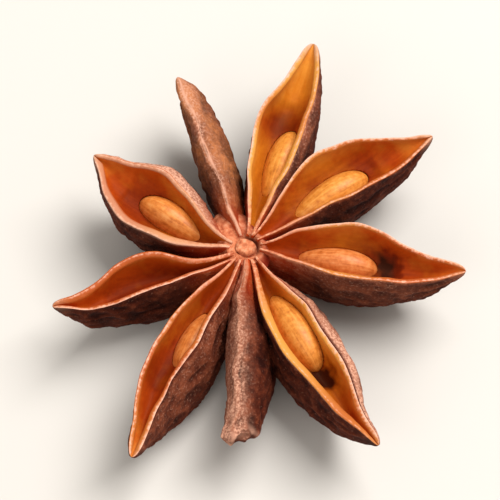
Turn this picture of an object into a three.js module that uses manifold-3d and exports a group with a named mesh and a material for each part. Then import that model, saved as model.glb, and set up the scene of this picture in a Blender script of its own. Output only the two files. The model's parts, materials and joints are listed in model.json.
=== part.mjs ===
// A dried star anise pod: nine boat-shaped follicles joined round a short
// central column, seven of them split open along the top and six of those
// still holding a seed. Millimetres, +Z up, the pod lying on its keels with
// the open side up.

import * as THREE from 'three';
import { mergeVertices } from 'three/addons/utils/BufferGeometryUtils.js';
import { LoftGeometry } from 'three/addons/geometries/LoftGeometry.js';
import Module from 'manifold-3d';

// ---- driving dimensions (mm) ------------------------------------------

// The column stands a little off the middle of the pod's bounding box.
const COLUMN_X = -1.05;
const COLUMN_Y = 0.05;

// The column, which spreads into a web between the follicles just under their
// rims, its button on top in a ring-shaped groove, and the broken stalk below.
// The web reaches further out on one side, round the shut northern follicle.
const COLUMN_RADIUS = 1.25;
const COLUMN_BOTTOM = 1.6;
const COLUMN_SHOULDER = 0.4;
const WEB_RADIUS = 2.1;
const WEB_FOOT = 4.6;
const WEB_EDGE = 5.5;
const WEB_FACE_RADIUS = 1.5;
const WEB_TOP = 6.45;
const WEB_REACH = 0.6;
const WEB_REACH_AZIMUTH = 120;
const WEB_REACH_FALLOFF = 4;
const GROOVE_RADIUS = 1.05;
const GROOVE_BOTTOM = 6.15;
const BUTTON_RADIUS = 0.82;
const BUTTON_FACE_RADIUS = 0.62;
const BUTTON_TOP = 6.85;
const BUTTON_ROUNDING = 0.2;
const COLUMN_SIDES = 14;
const STALK_RADIUS = 0.95;
const STALK_END_RADIUS = 0.76;
const STALK_BOTTOM = 0.7;
const STALK_ROUNDING = 0.3;

// Every follicle starts beside the column and is read at six even stations
// from there to its tip: the height of its mouth and of its keel, half its
// body's width, and how far the keel lies under the middle of the mouth.
const FOLLICLE_START = 1.1;
const CREST = [6.7, 7.2, 7.5, 7.5, 7.2];
const KEEL = [1.5, 0.5, -0.07, 0.3, 2.1];
const BEAK_DEPTH = 0.9;
const BODY_HALF_WIDTH = [0.45, 1.5, 2.2, 1.95, 1.05, 0.35];
const KEEL_FOLLOWS_MOUTH = [1, 0.6, 0.4, 0.4, 0.6, 1];

// The torn rim slopes inwards to a smooth bowl, given by its depth under the
// rim at the six stations.
const RIM_SLOPE = 0.5;
const RIM_SHARE = [0.5, 0.85, 1, 1, 1, 0.9];
const LEAST_GAPE = 0.04;
const BOWL_DEPTH = [0.6, 1.9, 2.3, 2.3, 1.7, 0.4];
const BOWL_BELLY = 0.1;
const LEAST_BELLY = 0.22;

// A shut mouth is a shallow slit; an open one has its rims drawn up steeply,
// a shut one rolls over into round shoulders, and so do a few open walls that
// bulge out just under their rims.
const SLIT_DEPTH = 0.03;
const OPEN_SHOULDER = 0.1;
const SHUT_SHOULDER = 0.65;
const FULL_BULGE = 0.7;
const BULGE_HEIGHT = 4;

// The beak's blunt end is rounded off over the last part of the length.
const TIP_ROUND_FROM = 0.94;
const TIP_ROUND_TO = 0.35;

// A swollen beak is fullest near its tip; a higher power puts it nearer.
const SWELL_POWER = 4;

// Slow waves in the dried rims, each follicle's starting at a place of its own.
const RIM_WAVE = 0.1;
const RIM_WAVES = 2.6;
const WAVE_PHASE_PER_DEGREE = 3;

// Facets: rings along a follicle, crowded towards its tip, and points up each
// outer and inner side.
const RINGS = 18;
const RING_CROWDING = 0.4 * Math.PI;
const OUTER_POINTS = 6;
const INNER_POINTS = 4;

// The floor plane trims the lowest keels to small flats.
const TRIM_BOX = 60;

// Vertices nearer than this are one when a shape becomes a solid.
const MERGE_DISTANCE = 1e-5;

// A seed: length, height on edge and thickness. It sits in a close-fitting
// socket in the bowl's floor, with some slack at its outer end.
const SEED_LENGTH = 7.8;
const SEED_HEIGHT = 4.9;
const SEED_THICKNESS = 3.2;
const SEED_TAPER = 0.16;
const SEED_SEGMENTS = 16;
const SEED_RINGS = 10;
const SOCKET_CLEARANCE = 0.08;
const SOCKET_SLACK = 0.2;

// One row for each follicle, anticlockwise from +X. azimuth in degrees and
// length to the tip; tip is the beak's height, width scales the body, keel
// moves the keel sideways and lift raises it; left and right are the mouth's
// two edges, sideways from the line to the tip, at the six stations, rims
// their two widths and bulges the two walls' swellings; blunt widens the far
// end and swell the right side of the beak.
const FOLLICLES = [
  {
    name: 'east', azimuth: -7, length: 17.6, tip: 7.2,
    width: 1, keel: 0, lift: 0, rims: [0.3, 0.4],
    left: [0.5, 2.0, 2.7, 2.1, 0.9, 0.3],
    right: [-0.1, -1.1, -2.0, -2.1, -1.6, -0.5],
  },
  {
    name: 'north_east', azimuth: 33, length: 17.9, tip: 7.3,
    width: 0.95, keel: 0.3, lift: 0.2, rims: [0.3, 0.35],
    left: [0.6, 2.1, 3.4, 3.4, 1.8, 0.2],
    right: [0.0, -0.6, -0.9, -1.2, -1.1, -0.3],
  },
  {
    name: 'north', azimuth: 73, length: 18.9, tip: 7.4,
    width: 0.95, keel: -0.4, lift: 0, rims: [0.4, 0.45], bulges: [0, 0.3],
    left: [0.3, 1.3, 2.2, 2.3, 1.4, 0.5],
    right: [-0.3, -0.8, -1.4, -1.6, -1.4, -0.5],
  },
  {
    name: 'north_shut', azimuth: 110, length: 16.2, tip: 7.0,
    width: 0.64, keel: -0.7, lift: 0.3, rims: [0.2, 0.2], shut: true, swell: 0.42,
    left: [0.1, 0.2, 0.2, 0.2, 0.15, 0.1],
    right: [0.0, 0.1, 0.1, 0.1, 0.05, 0.0],
  },
  {
    name: 'north_west', azimuth: 147, length: 14.6, tip: 7.4,
    width: 0.95, keel: 0, lift: 0, rims: [0.75, 0.35], bulges: [0, 0.7],
    left: [0.8, 2.7, 3.5, 3.8, 2.5, 0.3],
    right: [0.2, 0.0, -1.2, -1.7, -1.0, -0.2],
  },
  {
    name: 'west', azimuth: 199, length: 16.2, tip: 7.1,
    width: 0.9, keel: 0, lift: 0.2, rims: [0.35, 0.5],
    left: [0.7, 1.2, 1.4, 1.6, 1.5, 0.3],
    right: [0.1, -0.1, -1.6, -1.7, -0.4, -0.3],
  },
  {
    name: 'south_west', azimuth: 244, length: 20.2, tip: 7.2,
    width: 1, keel: 0.2, lift: 0, rims: [0.45, 0.35],
    left: [0.2, 0.5, 0.4, 0.1, 0.1, 0.4],
    right: [-0.4, -1.6, -2.6, -2.6, -1.7, -0.5],
  },
  {
    name: 'south_shut', azimuth: 270, length: 16.6, tip: 6.6,
    width: 0.7, keel: 0.5, lift: 0.4, rims: [0.3, 0.3], shut: true, blunt: 1.1,
    left: [0.1, -0.2, -0.2, -0.2, -0.4, -0.6],
    right: [0.0, -0.3, -0.3, -0.3, -0.5, -0.7],
  },
  {
    name: 'south_east', azimuth: 301, length: 20.0, tip: 7.2,
    width: 1, keel: -0.35, lift: 0, rims: [0.35, 0.7], bulges: [0.7, 0],
    left: [0.3, 0.9, 1.3, 1.2, 0.5, 0.3],
    right: [-0.3, -1.7, -2.4, -2.1, -1.3, -0.3],
  },
];

// One row for each seed: its follicle, its middle (along, side, height), its
// size against the full seed, its turn seen from above and its lean; the outer
// ends of all of them are tipped up a little.
const SEED_TIP_UP = 4;
const SEEDS = [
  { follicle: 'east', along: 7.1, side: 0.05, height: 4.3, size: 0.92, turn: -2, lean: 0 },
  { follicle: 'north_east', along: 8.4, side: 0.6, height: 4.35, size: 0.96, turn: 0, lean: 4 },
  { follicle: 'north', along: 8.2, side: -0.4, height: 4.3, size: 0.93, turn: -3, lean: 2 },
  { follicle: 'north_west', along: 6.4, side: 0.6, height: 4.25, size: 0.9, turn: -1, lean: -1 },
  { follicle: 'south_west', along: 8.4, side: -0.3, height: 4.0, size: 0.88, turn: 0, lean: 0 },
  { follicle: 'south_east', along: 7.7, side: -0.15, height: 4.45, size: 1.02, turn: -2, lean: 0 },
];

// ---- reading a follicle's dimensions at any place along it --------------

function smoothReading(stations, along) {
  const curve = new THREE.SplineCurve(stations.map((value) => new THREE.Vector2(0, value)));
  return curve.getPoint(along).y;
}

function sectionMeasures(follicle, along) {
  const arch = Math.sin(Math.PI * along);
  const phase = THREE.MathUtils.degToRad(WAVE_PHASE_PER_DEGREE * follicle.azimuth);
  const wave = RIM_WAVE * arch * Math.sin(RIM_WAVES * 2 * Math.PI * along + phase);
  const left = smoothReading(follicle.left, along) + wave;
  const right = smoothReading(follicle.right, along) + wave / 2;
  const keelZ = smoothReading([...KEEL, follicle.tip - BEAK_DEPTH], along) + follicle.lift * arch;
  const crestZ = smoothReading([...CREST, follicle.tip], along);
  const depth = follicle.shut ? SLIT_DEPTH : smoothReading(BOWL_DEPTH, along);
  const step = follicle.shut ? 0 : wave;
  const swell = (follicle.swell ?? 0) * Math.sin(Math.PI * along ** SWELL_POWER);
  const [leftRim, rightRim] = follicle.rims;
  const rimShare = smoothReading(RIM_SHARE, along);
  const [leftBulge, rightBulge] = follicle.bulges ?? [0, 0];
  return {
    keelY: smoothReading(KEEL_FOLLOWS_MOUTH, along) * (left + right) / 2 + follicle.keel * arch - swell,
    keelZ,
    mouthY: (left + right) / 2,
    floorZ: crestZ - depth,
    halfWidth: smoothReading(BODY_HALF_WIDTH, along) * follicle.width
      + (follicle.blunt ?? 0) * along ** 3 + swell,
    edges: [
      { side: 1, y: left, z: crestZ + step, rim: leftRim * rimShare, bulge: leftBulge * arch },
      { side: -1, y: right, z: crestZ - step, rim: rightRim * rimShare, bulge: rightBulge * arch },
    ],
  };
}

// ---- one follicle: a loft of boat-shaped rings ---------------------------

// A wall rises from its bottom (rise 0) to the mouth's edge (rise 1) and
// bellies out on the way; a shoulder rolls its top over, and a bulge swells it
// just under the edge.
function wallPoint(startY, bottomZ, edge, belly, shoulder, bulge, rise) {
  const turn = rise * Math.PI / 2;
  const climb = THREE.MathUtils.lerp(1 - Math.cos(turn), Math.sin(turn) ** 2, shoulder);
  const swell = bulge * Math.sin(Math.PI * rise ** BULGE_HEIGHT);
  return [
    startY + (edge.y - startY) * Math.sin(turn) + edge.side * (belly * Math.sin(2 * turn) + swell),
    bottomZ + (edge.z - bottomZ) * climb,
  ];
}

function wallPoints(startY, bottomZ, edge, belly, shoulder, bulge, count) {
  const points = [];
  for (let i = 1; i <= count; i++) {
    points.push(wallPoint(startY, bottomZ, edge, belly, shoulder, bulge, i / count));
  }
  return points;
}

// A ring: the keel, up the outer left side, down the inner left side, the
// floor, and the same on the right. A shut mouth's rims lie outside its seam,
// an open one's inside its edges.
function ringProfile(follicle, along) {
  const { keelY, keelZ, mouthY, floorZ, halfWidth, edges } = sectionMeasures(follicle, along);
  const outer = [];
  const inner = [];
  for (const edge of edges) {
    const reach = edge.side * (edge.y - keelY);
    const roll = follicle.shut ? 1 : edge.bulge / FULL_BULGE;
    const shoulder = THREE.MathUtils.lerp(OPEN_SHOULDER, SHUT_SHOULDER, roll);
    const belly = Math.max(LEAST_BELLY, halfWidth - reach * Math.SQRT1_2);
    const outerEdge = follicle.shut ? { ...edge, y: edge.y + edge.side * edge.rim } : edge;
    outer.push(wallPoints(keelY, keelZ, outerEdge, belly, shoulder, edge.bulge, OUTER_POINTS));
    const rim = Math.min(edge.rim, reach - LEAST_GAPE);
    const innerEdge = follicle.shut
      ? edge
      : { ...edge, y: edge.y - edge.side * rim, z: edge.z - RIM_SLOPE * rim };
    const innerBelly = follicle.shut ? 0 : BOWL_BELLY * Math.abs(innerEdge.y - mouthY);
    inner.push(wallPoints(mouthY, floorZ, innerEdge, innerBelly, shoulder, 0, INNER_POINTS));
  }
  return [
    [keelY, keelZ],
    ...outer[0],
    ...inner[0].reverse(),
    [mouthY, floorZ],
    ...inner[1],
    ...outer[1].reverse(),
  ];
}

function roundedTip(profile, along) {
  const overTip = Math.max(0, along - TIP_ROUND_FROM) / (1 - TIP_ROUND_FROM);
  const scale = Math.sqrt(1 - (1 - TIP_ROUND_TO ** 2) * overTip ** 2);
  const total = (axis) => profile.reduce((sum, point) => sum + point[axis], 0);
  const middle = [total(0) / profile.length, total(1) / profile.length];
  return profile.map((point) => point.map((value, axis) => middle[axis] + (value - middle[axis]) * scale));
}

function follicleGeometry(follicle) {
  const sections = [];
  for (let i = 0; i <= RINGS; i++) {
    const along = Math.sin((i / RINGS) * RING_CROWDING) / Math.sin(RING_CROWDING);
    const radius = FOLLICLE_START + (follicle.length - FOLLICLE_START) * along;
    const profile = roundedTip(ringProfile(follicle, along), along);
    sections.push(profile.map(([y, z]) => new THREE.Vector3(radius, y, z)));
  }
  const geometry = new LoftGeometry(sections, { capStart: true, capEnd: true });
  geometry.rotateZ(THREE.MathUtils.degToRad(follicle.azimuth));
  return geometry;
}

// ---- the column with its button and stalk --------------------------------

function columnGeometry() {
  const profile = [
    [0, STALK_BOTTOM],
    [STALK_END_RADIUS, STALK_BOTTOM],
    [STALK_RADIUS, STALK_BOTTOM + STALK_ROUNDING],
    [STALK_RADIUS, COLUMN_BOTTOM],
    [COLUMN_RADIUS, COLUMN_BOTTOM + COLUMN_SHOULDER],
    [COLUMN_RADIUS, WEB_FOOT],
    [WEB_RADIUS, WEB_EDGE],
    [WEB_FACE_RADIUS, WEB_TOP],
    [GROOVE_RADIUS, WEB_TOP],
    [BUTTON_RADIUS, GROOVE_BOTTOM],
    [BUTTON_RADIUS, BUTTON_TOP - BUTTON_ROUNDING],
    [BUTTON_FACE_RADIUS, BUTTON_TOP],
    [0, BUTTON_TOP],
  ].map(([radius, z]) => new THREE.Vector2(radius, z));
  const geometry = new THREE.LatheGeometry(profile, COLUMN_SIDES);
  geometry.rotateX(Math.PI / 2);
  const points = geometry.attributes.position;
  const reachAngle = THREE.MathUtils.degToRad(WEB_REACH_AZIMUTH);
  for (let i = 0; i < points.count; i++) {
    const radius = Math.hypot(points.getX(i), points.getY(i));
    const onWeb = points.getZ(i) > WEB_FOOT && radius > GROOVE_RADIUS + MERGE_DISTANCE;
    const facing = Math.max(0, Math.cos(Math.atan2(points.getY(i), points.getX(i)) - reachAngle));
    const reach = onWeb ? 1 + WEB_REACH * facing ** WEB_REACH_FALLOFF : 1;
    points.setX(i, points.getX(i) * reach);
    points.setY(i, points.getY(i) * reach);
  }
  return geometry;
}

// ---- a seed: a smooth bean on edge, fuller at its far end ----------------

// A seed's bean in its place in the pod, grown all round by a clearance and
// outwards along its follicle by a slack.
function beanGeometry(seed, clearance, slack) {
  const geometry = new THREE.SphereGeometry(0.5, SEED_SEGMENTS, SEED_RINGS);
  geometry.rotateZ(Math.PI / 2);
  const points = geometry.attributes.position;
  for (let i = 0; i < points.count; i++) {
    const fullness = 1 + SEED_TAPER * 2 * points.getX(i);
    points.setY(i, points.getY(i) * fullness);
    points.setZ(i, points.getZ(i) * fullness);
  }
  geometry.scale(
    SEED_LENGTH * seed.size + 2 * clearance + slack,
    SEED_THICKNESS * seed.size + 2 * clearance,
    SEED_HEIGHT * seed.size + 2 * clearance,
  );
  geometry.translate(slack / 2, 0, 0);
  geometry.rotateX(THREE.MathUtils.degToRad(seed.lean));
  geometry.rotateY(-THREE.MathUtils.degToRad(SEED_TIP_UP));
  geometry.rotateZ(THREE.MathUtils.degToRad(seed.turn));
  geometry.translate(seed.along, seed.side, seed.height);
  const follicle = FOLLICLES.find((row) => row.name === seed.follicle);
  geometry.rotateZ(THREE.MathUtils.degToRad(follicle.azimuth));
  return geometry;
}

// ---- joining --------------------------------------------------------------

const wasm = await Module();
wasm.setup();

function toSolid(geometry) {
  const bare = new THREE.BufferGeometry().copy(geometry);
  bare.deleteAttribute('normal');
  bare.deleteAttribute('uv');
  const merged = mergeVertices(bare, MERGE_DISTANCE);
  return new wasm.Manifold(new wasm.Mesh({
    numProp: 3,
    vertProperties: merged.attributes.position.array,
    triVerts: new Uint32Array(merged.index.array),
  }));
}

function toGeometry(solid) {
  const mesh = solid.getMesh();
  const geometry = new THREE.BufferGeometry();
  geometry.setAttribute('position', new THREE.BufferAttribute(mesh.vertProperties, 3));
  geometry.setIndex(new THREE.BufferAttribute(mesh.triVerts, 1));
  geometry.computeVertexNormals();
  return geometry;
}

function huskGeometry() {
  let husk = toSolid(columnGeometry());
  for (const follicle of FOLLICLES) {
    husk = husk.add(toSolid(follicleGeometry(follicle)));
  }
  for (const seed of SEEDS) {
    husk = husk.subtract(toSolid(beanGeometry(seed, SOCKET_CLEARANCE, SOCKET_SLACK)));
  }
  const aboveFloor = new THREE.BoxGeometry(TRIM_BOX, TRIM_BOX, TRIM_BOX);
  aboveFloor.translate(0, 0, TRIM_BOX / 2);
  return toGeometry(husk.intersect(toSolid(aboveFloor)));
}

// ---- the pod ----------------------------------------------------------------

const HUSK_WOOD = new THREE.MeshStandardMaterial({ color: 0x7a3a1e, roughness: 0.75, metalness: 0 });
const SEED_SHELL = new THREE.MeshStandardMaterial({ color: 0xd8862f, roughness: 0.3, metalness: 0 });

const pod = new THREE.Group();
pod.name = 'star_anise_pod';
pod.position.set(COLUMN_X, COLUMN_Y, 0);

const husk = new THREE.Mesh(huskGeometry(), HUSK_WOOD);
husk.name = 'husk';
pod.add(husk);

for (const seed of SEEDS) {
  const mesh = new THREE.Mesh(beanGeometry(seed, 0, 0), SEED_SHELL);
  mesh.name = `seed_${seed.follicle}`;
  pod.add(mesh);
}

export default pod;
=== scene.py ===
import json
import math

import bmesh
import bpy
from mathutils import Matrix, Vector, noise

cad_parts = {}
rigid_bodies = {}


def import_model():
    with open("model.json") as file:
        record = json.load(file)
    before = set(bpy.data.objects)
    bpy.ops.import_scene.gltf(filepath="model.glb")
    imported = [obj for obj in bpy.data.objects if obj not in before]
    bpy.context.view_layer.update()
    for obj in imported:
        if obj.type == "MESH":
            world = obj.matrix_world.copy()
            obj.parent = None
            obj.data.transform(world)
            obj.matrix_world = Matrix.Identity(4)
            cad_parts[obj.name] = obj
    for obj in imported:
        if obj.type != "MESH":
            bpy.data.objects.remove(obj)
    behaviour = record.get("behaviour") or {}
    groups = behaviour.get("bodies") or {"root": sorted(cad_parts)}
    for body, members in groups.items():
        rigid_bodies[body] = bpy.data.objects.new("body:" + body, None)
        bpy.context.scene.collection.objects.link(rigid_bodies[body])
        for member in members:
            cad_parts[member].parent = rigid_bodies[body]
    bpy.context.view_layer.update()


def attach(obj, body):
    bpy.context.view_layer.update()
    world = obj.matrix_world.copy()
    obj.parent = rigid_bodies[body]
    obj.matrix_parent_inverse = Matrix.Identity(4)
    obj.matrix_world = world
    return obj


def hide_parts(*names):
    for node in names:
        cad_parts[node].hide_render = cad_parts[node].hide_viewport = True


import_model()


# ---- Follicles -----------------------------------------------------------
# Nine small woody boats, the ripened carpels of one flower, dried hard. Each
# grew as a closed pouch; seven tore open along the top seam and gape, two
# stayed shut. They are measured here in millimetres along their own lines.

# A millimetre in metres.
MM = 0.001

# Where the column stands, and how far from its middle the follicles begin.
COLUMN_X = -1.05
COLUMN_Y = 0.05
FOLLICLE_START = 1.1

# The body, with its lists read at even stations from the column to the tip:
# the heights of crest and keel, which end at the follicle's own tip, how wide
# it is between them, and how far the keel follows the mouth sideways.
CREST = [6.7, 7.2, 7.5, 7.5, 7.2]
KEEL = [1.5, 0.5, -0.07, 0.3, 2.1]
BEAK_DEPTH = 0.9
BODY_HALF_WIDTH = [0.45, 1.5, 2.2, 1.95, 1.05, 0.35]
KEEL_FOLLOWS_MOUTH = [1, 0.6, 0.4, 0.4, 0.6, 1]
LEAST_BELLY = 0.22
OPEN_SHOULDER = 0.1
SHUT_SHOULDER = 0.65
FULL_BULGE = 0.7
BULGE_HEIGHT = 4
SWELL_POWER = 4
BLUNT_POWER = 3
TIP_ROUND_FROM = 0.94
TIP_MIDDLE = 2 / 3

# The torn rims slope inwards and wave up and down; a shut one is a low ridge.
RIM_SHARE = [0.5, 0.85, 1, 1, 1, 0.9]
RIM_SLOPE = 0.5
RIM_ROUNDING = 0.15
RIM_WAVE = 0.1
RIM_WAVES = 2.6
WAVE_PHASE_PER_DEGREE = 3
LEAST_GAPE = 0.04
SEAM_RIDGE = 0.06

# The bowl below the rims, with a low ledge where the seed's chamber ends.
BOWL_DEPTH = [0.6, 1.9, 2.3, 2.3, 1.7, 0.4]
BOWL_BELLY = 0.1
LEDGE_HEIGHT = 0.35
LEDGE_LENGTH = 0.035

# One row for each follicle, anticlockwise from +X. Its body: azimuth in degrees,
# length, height of the tip, width against a full one, how far the keel sways
# and lifts, how wide the left and right rims tore and bulge, and whether it is
# shut with a swollen beak or a blunt and frayed end. Its weathering: the side
# that the dust lies on and that the painted light falls from (the skin facing
# away is painted in shade), how dusty it is, a bleached tip, raw rims, a pale
# seam, sunned skin. Its bowl: where the chamber ends, a painted shadow in the
# pit past the seed (how far out and how dark), and at six even stations how red
# the lining is, partly its own colour and partly painted light and shade
# (golden where lit, red and darker where shaded), and how far the mouth's left
# and right edges stand from the line to the tip.
FOLLICLES = {
    "east": dict(
        azimuth=-7, length=17.6, tip=7.2, width=1, rims=(0.3, 0.4),
        dust_and_light_side=-0.6, dusty=0.2, bleached=0.25,
        chamber_end=0.66, pit_shadow=(11.3, 0.9), redness=[1.0, 0.8, 0.5, 0.9, 1.0, 0.8],
        left=[0.5, 2.0, 2.7, 2.1, 0.9, 0.3], right=[-0.1, -1.1, -2.0, -2.1, -1.6, -0.5]),
    "north_east": dict(
        azimuth=33, length=17.9, tip=7.3, width=0.95, keel=0.3, lift=0.2, rims=(0.3, 0.35),
        bleached=0.7,
        chamber_end=0.69, redness=[0.9, 0.7, 0.5, 0.8, 0.9, 0.7],
        left=[0.6, 2.1, 3.4, 3.4, 1.8, 0.2], right=[0.0, -0.6, -0.9, -1.2, -1.1, -0.3]),
    "north": dict(
        azimuth=73, length=18.9, tip=7.4, width=0.95, keel=-0.4, rims=(0.4, 0.45), bulges=(0, 0.3),
        dusty=0.3, bleached=1.0,
        chamber_end=0.69, pit_shadow=(12.1, 0.2), redness=[-0.5, -0.5, -0.2, 0.6, 0.1, 0.0],
        left=[0.3, 1.3, 2.2, 2.3, 1.4, 0.5], right=[-0.3, -0.8, -1.4, -1.6, -1.4, -0.5]),
    "north_shut": dict(
        azimuth=110, length=16.2, tip=7.0, width=0.64, keel=-0.7, lift=0.3, rims=(0.2, 0.2),
        shut=True, swell=0.42,
        dust_and_light_side=0.15, dusty=0.6, bleached=0.6, seam=0.9, sunned=1.1,
        left=[0.1, 0.2, 0.2, 0.2, 0.15, 0.1], right=[0.0, 0.1, 0.1, 0.1, 0.05, 0.0]),
    "north_west": dict(
        azimuth=147, length=14.6, tip=7.4, width=0.95, rims=(0.75, 0.35), bulges=(0, 0.7),
        dusty=1.8, bleached=0.9, raw=0.45,
        chamber_end=0.72, redness=[0.5, 0.5, 0.6, 1.1, 1.1, 0.8],
        left=[0.8, 2.7, 3.5, 3.8, 2.5, 0.3], right=[0.2, 0.0, -1.2, -1.7, -1.0, -0.2]),
    "west": dict(
        azimuth=199, length=16.2, tip=7.1, width=0.9, lift=0.2, rims=(0.35, 0.5),
        bleached=0.4,
        chamber_end=0.7, redness=[1.0, 1.0, 1.0, 1.0, 1.0, 0.9],
        left=[0.7, 1.2, 1.4, 1.6, 1.5, 0.3], right=[0.1, -0.1, -1.6, -1.7, -0.4, -0.3]),
    "south_west": dict(
        azimuth=244, length=20.2, tip=7.2, width=1, keel=0.2, rims=(0.45, 0.35),
        dust_and_light_side=0.4, dusty=0.1, bleached=0.1,
        chamber_end=0.65, redness=[1.0, 1.0, 0.8, 1.0, 0.8, 0.6],
        left=[0.2, 0.5, 0.4, 0.1, 0.1, 0.4], right=[-0.4, -1.6, -2.6, -2.6, -1.7, -0.5]),
    "south_shut": dict(
        azimuth=270, length=16.6, tip=6.6, width=0.7, keel=0.5, lift=0.4, rims=(0.3, 0.3),
        shut=True, blunt=1.1, frayed=0.5,
        dust_and_light_side=-0.7, dusty=0.8, bleached=0.35,
        left=[0.1, -0.2, -0.2, -0.2, -0.4, -0.6], right=[0.0, -0.3, -0.3, -0.3, -0.5, -0.7]),
    "south_east": dict(
        azimuth=301, length=20.0, tip=7.2, width=1, keel=-0.35, rims=(0.35, 0.7), bulges=(0.7, 0),
        dust_and_light_side=0.4, dusty=1.1, bleached=0.1,
        chamber_end=0.64, pit_shadow=(12.3, 1.2), redness=[0.9, 0.3, 0.0, 0.3, 0.8, 0.6],
        left=[0.3, 0.9, 1.3, 1.2, 0.5, 0.3], right=[-0.3, -1.7, -2.4, -2.1, -1.3, -0.3]),
}

# How finely a follicle is drawn: rings along it, crowded towards its tip, and
# rows up its skin, across its torn rim and down its lining.
RINGS = 78
RING_CROWDING = 0.4 * math.pi
ROWS = {"skin": 31, "rim": 4, "lining": 24}
SLIT_ROWS = 4

# The drying wrinkles: creases over 1 mm apart that run mostly lengthwise, with
# a finer pucker between them; the torn edges are wavy and nibbled. They grow in
# from the column and die out towards the tip and the rim.
CREASE = 0.16
CREASE_ACROSS = 1.0
CREASE_ALONG = 2.2
CREASE_SHARPNESS = 3
CREASE_LEVEL = 0.4
PUCKER = 0.08
PUCKER_SPACING = 0.5
WOBBLE = 0.16
WOBBLE_SPACING = 2.2
WOBBLE_UPWARD = 0.5
NIBBLE = 0.06
NIBBLE_SPACING = 0.5
FRAYED_FROM = 0.88
FRAYED_SPACING = 0.7
GROWS_IN = 6
DIES_OUT = 8
SMOOTH_AT_RIM = 6

# Points nearer than this are one.
WELD = 1e-5

# Each follicle is wrinkled by its own stretch of noise, drawn alike every time.
NOISE_START = 20
WOBBLE_SEED = 2
noise.seed_set(WOBBLE_SEED)

# What the finishes read at each point of the husk: how far in from the torn
# edge it is (mm), how high on a wrinkle (painted shade in the creases, painted
# light on the tops), how far it faces up towards the side the dust lies on (for
# the dust, and for painted light on top and painted shade low on the sides),
# the painted shade in the bowl (how deep there as a share of the deepest, with
# a painted shadow in the pit past a seed), how pale, how near the middle of the
# pod, how red its lining is (partly its own colour, partly painted light and
# shade), how dusty and how sunned its skin is, where it lies along and across
# the grain, and the painted shade in the button's crack.
LAYERS = ("inward", "relief", "upward", "depth", "pale", "centre", "red_share", "dusty",
          "sunned", "along", "across", "crack_shade")
DEEPEST = 2.9
# The painted shadow in the pit past a seed: how far it reaches along and up the wall, and how
# ragged it is.
PIT_SHADOW_REACH = 1.5
PIT_SHADOW_CLIMB = 1.6
PIT_SHADOW_RAGGED = 0.4
BLEACHED_FROM = 0.9
BLEACHED_FADE = 3
SEAM_FADE = 2
FRAY_PALENESS = 4
SUNNED_LEVEL = 0.7
SUNNED_FADE = 1.5
SUNNED_OUTWARD = 2.2
DUST_AT_COLUMN = 0.3
DUST_OUTWARD = 0.9
CENTRE_REACH = 5


def reading(stations, along):
    """A smooth curve through evenly spaced stations, read at 0 to 1 along."""
    place = min(max(along, 0), 1) * (len(stations) - 1)
    index = min(int(place), len(stations) - 2)
    part = place - index
    start = stations[index]
    end = stations[index + 1]
    leaving = (end - stations[max(index - 1, 0)]) / 2
    arriving = (stations[min(index + 2, len(stations) - 1)] - start) / 2
    bend = 2 * (start - end) + leaving + arriving
    rest = 3 * (end - start) - 2 * leaving - arriving
    return start + part * (leaving + part * (rest + part * bend))


def section(follicle, along):
    """The measures of one cross-section: its keel, chamber floor, half width and both edges."""
    arch = math.sin(math.pi * along)
    phase = math.radians(WAVE_PHASE_PER_DEGREE * follicle["azimuth"])
    wave = RIM_WAVE * arch * math.sin(RIM_WAVES * 2 * math.pi * along + phase)
    step = 0 if follicle.get("shut") else wave
    left = reading(follicle["left"], along) + wave
    right = reading(follicle["right"], along) + wave / 2
    keel_z = reading(KEEL + [follicle["tip"] - BEAK_DEPTH], along) + follicle.get("lift", 0) * arch
    crest_z = reading(CREST + [follicle["tip"]], along)
    past_ledge = min(max((along - follicle.get("chamber_end", 1)) / LEDGE_LENGTH, 0), 1)
    ledge = LEDGE_HEIGHT * arch * past_ledge ** 2 * (3 - 2 * past_ledge)
    left_rim, right_rim = follicle["rims"]
    rim_share = reading(RIM_SHARE, along)
    left_bulge, right_bulge = follicle.get("bulges", (0, 0))
    swell = follicle.get("swell", 0) * math.sin(math.pi * along ** SWELL_POWER)
    blunt = follicle.get("blunt", 0) * along ** BLUNT_POWER
    sway = follicle.get("keel", 0) * arch
    over_tip = max(0, along - TIP_ROUND_FROM) / (1 - TIP_ROUND_FROM)
    return dict(
        along=along,
        radius=FOLLICLE_START + (follicle["length"] - FOLLICLE_START) * along,
        keel_y=reading(KEEL_FOLLOWS_MOUTH, along) * (left + right) / 2 + sway - swell,
        keel_z=keel_z,
        floor_z=crest_z - reading(BOWL_DEPTH, along) + ledge,
        half_width=reading(BODY_HALF_WIDTH, along) * follicle["width"] + blunt + swell,
        edges={1: (left, crest_z + step, left_rim * rim_share, left_bulge * arch),
               -1: (right, crest_z - step, right_rim * rim_share, right_bulge * arch)},
        mouth_y=(left + right) / 2,
        middle_z=keel_z + TIP_MIDDLE * (crest_z - keel_z),
        shrink=math.sqrt(1 - over_tip ** 2),
    )


def wall_point(start_y, bottom_z, edge_y, edge_z, side, belly, shoulder, bulge, rise):
    """A point of a wall that rises from its bottom (0) to its edge (1)."""
    turn = rise * math.pi / 2
    climb = (1 - shoulder) * (1 - math.cos(turn)) + shoulder * math.sin(turn) ** 2
    swell = bulge * math.sin(math.pi * rise ** BULGE_HEIGHT)
    y = start_y + (edge_y - start_y) * math.sin(turn) + side * (belly * math.sin(2 * turn) + swell)
    return y, bottom_z + (edge_z - bottom_z) * climb


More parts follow.
